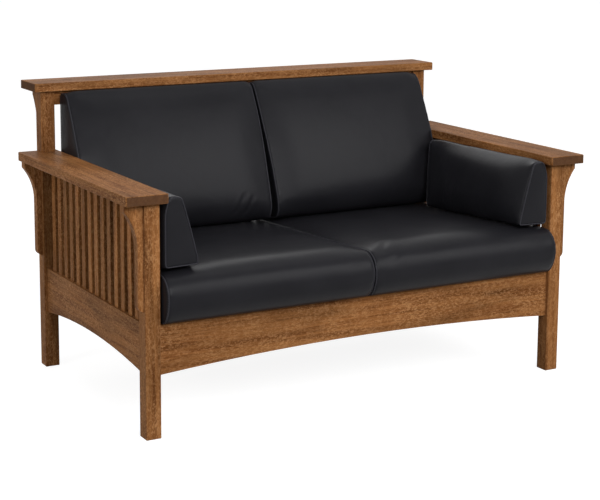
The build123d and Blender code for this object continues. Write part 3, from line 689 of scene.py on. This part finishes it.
# The back cushions, wedges that lean on the upper back rail under the cap
backCushion = {
    "still": 0.0003,
    "puff": 0.005,
    "lift": 0.009,  # how high the top stands up in front of the cap's edge
    "part": 0.005,  # how far the two stand apart at the seat
    "close": 0.0035,  # how far they lean together towards the top
    "tuck": 0.016,  # how far the front turns under at the seat
    "creases": {
        "left": [((-0.150, 0.150, 0.470), (-0.108, 0.152, 0.535), 0.007, 0.0022),
                 ((-0.112, 0.150, 0.468), (-0.078, 0.152, 0.525), 0.007, 0.0022)],
    },
}


def backBroad(normal):
    return smoothstep(0.05, 0.9, -normal.y)


def backFreedom(start, normal):
    face = smoothstep(0.0, 0.7, -normal.y) * smoothstep(-0.5, 0.2, normal.z)
    return backCushion["still"] + backCushion["puff"] * face * endless(normal)


def backShape(p):
    high = smoothstep(capUnder - 0.048, capUnder - 0.006, p.z)
    ahead = 1 - smoothstep(capFront - 0.016, capFront - 0.004, p.y)
    between = smoothstep(0.0, 0.03, -p.x) * (1 - smoothstep(0.60, 0.635, -p.x))
    lift = backCushion["lift"] * high * ahead * between
    low = 1 - (p.z - seatTop) / (capUnder - seatTop)
    part = backCushion["part"] * low * (1 - smoothstep(0.0, 0.16, -p.x))
    part -= backCushion["close"] * smoothstep(0.3, 0.8, 1 - low) * smoothstep(-0.08, -0.02, p.x)
    under = 1 - smoothstep(seatTop - 0.002, seatTop + 0.085, p.z)
    face = 1 - smoothstep(backCushionFront + 0.03, backCushionFront + 0.12, p.y)
    return Vector((p.x - part, p.y + backCushion["tuck"] * under * face, p.z + lift))


# The arm cushions, wedges with a flat panel at the front and one at the rear
armCushion = {
    "still": 0.0002,
    "puff": 0.005,
    "frontPuff": 0.5,
    "rearLean": 17,
    "creases": {
        "right": [((0.535, -0.060, 0.475), (0.560, -0.075, 0.560), 0.007, 0.0018),
                  ((0.535, -0.020, 0.475), (0.560, -0.035, 0.575), 0.007, 0.0018)],
    },
}


def armBroad(normal):
    return smoothstep(0.05, 0.9, normal.x)


def armFreedom(start, normal):
    inward = smoothstep(0.0, 0.7, normal.x) * smoothstep(-0.4, 0.1, normal.z)
    front = armCushion["frontPuff"] * smoothstep(0.6, 0.95, -normal.y)
    return armCushion["still"] + armCushion["puff"] * max(inward, front)


ends = [Vector((1, 0, 0)), Vector((-1, 0, 0))]
lean = math.radians(armCushion["rearLean"])
armPanels = [Vector((0, -1, 0)), Vector((0, math.cos(lean), -math.sin(lean)))]
makePair("seat", seatCushion, ends, seatFreedom, seatBroad, seatShape)
makePair("back", backCushion, ends, backFreedom, backBroad, backShape)
makePair("arm", armCushion, armPanels, armFreedom, armBroad)


# Camera, floor and lights
studio = {
    "eye": (-2.33465, -4.1532, 1.4506),
    "yaw": -29.41,
    "pitch": -9.47,
    "roll": 0.35,
    "lens": 94.0,
    "sensor": 36,
    "shift": -0.15,
    "ambient": 0.35,  # strength of the even light from all round
    "floorSize": 60,
    "floorGlow": 0.88,  # what lifts the floor to white for the camera, without lighting the settle
    "lamps": [  # name, place, aim, width, height, watts
        ("right", (2.8, -4.5, 3.45), (0.0, 0.0, 0.65), 2.5, 3.2, 138),
        ("front", (-0.55, -3.5, 2.2), (-0.1, 0.0, 0.35), 1.4, 1.2, 70),
        ("left", (-3.9, -0.9, 1.9), (-0.7, 0.0, 0.45), 1.3, 1.7, 38),
        ("overhead", (0.6, -0.4, 3.4), (0.2, 0.0, 0.4), 1.3, 1.2, 6),
        ("back", (0.6, 3.2, 2.8), (0.0, 0.2, 0.6), 3.0, 1.2, 24),
    ],
}

camera = linked("camera", bpy.data.cameras.new("camera"))
camera.data.lens = studio["lens"]
camera.data.sensor_width = studio["sensor"]
camera.data.shift_y = studio["shift"]
turn = Matrix.Rotation(math.radians(studio["yaw"]), 4, "Z")
tilt = Matrix.Rotation(math.radians(90 + studio["pitch"]), 4, "X")
spin = Matrix.Rotation(math.radians(studio["roll"]), 4, "Z")
camera.matrix_world = Matrix.Translation(studio["eye"]) @ turn @ tilt @ spin
bpy.context.scene.camera = camera

for name, place, aim, width, height, watts in studio["lamps"]:
    light = bpy.data.lights.new(name, "AREA")
    light.shape = "RECTANGLE"
    light.size = width
    light.size_y = height
    light.energy = watts
    lamp = linked(name, light)
    lamp.location = place
    lamp.rotation_euler = (Vector(aim) - Vector(place)).to_track_quat("-Z", "Y").to_euler()


def lookedAt(tree):
    # 1 for what the camera sees, straight or in a reflection, 0 for light on the settle
    path = tree.nodes.new("ShaderNodeLightPath")
    total = path.outputs["Is Camera Ray"]
    for ray in ("Is Glossy Ray", "Is Transmission Ray"):
        adder = tree.nodes.new("ShaderNodeMath")
        adder.operation = "ADD"
        adder.use_clamp = True
        tree.links.new(total, adder.inputs[0])
        tree.links.new(path.outputs[ray], adder.inputs[1])
        total = adder.outputs[0]
    return total


world = bpy.data.worlds.new("studio")
bpy.context.scene.world = world
world.use_nodes = True
tree = world.node_tree
background = tree.nodes["Background"]
background.inputs["Color"].default_value = (1, 1, 1, 1)
strength = tree.nodes.new("ShaderNodeMix")
strength.data_type = "FLOAT"
strength.inputs["A"].default_value = studio["ambient"]
strength.inputs["B"].default_value = 1.0
tree.links.new(lookedAt(tree), strength.inputs["Factor"])
tree.links.new(strength.outputs[0], background.inputs["Strength"])

floorMesh = bpy.data.meshes.new("floor")
bm = bmesh.new()
bmesh.ops.create_grid(bm, x_segments=1, y_segments=1, size=studio["floorSize"])
bm.to_mesh(floorMesh)
bm.free()
floor = linked("floor", floorMesh)


def paleFloor():
    g = Graph("paleFloor")
    mottle = g.noise(g.place(), 3.0, 3)
    g.set("Base Color", g.blend(mottle, (0.30, 0.30, 0.30), (0.31, 0.31, 0.31)))
    g.set("Roughness", 0.9)
    g.set("Specular IOR Level", 0.1)
    glow = studio["floorGlow"]
    g.set("Emission Color", g.blend(Wire(g, lookedAt(g.tree)), (0.0, 0.0, 0.0), (glow, glow, glow)))
    g.set("Emission Strength", 1.0)
    return g.material


floorMesh.materials.append(paleFloor())

bpy.context.scene.view_settings.view_transform = "Standard"

print("scene ready")
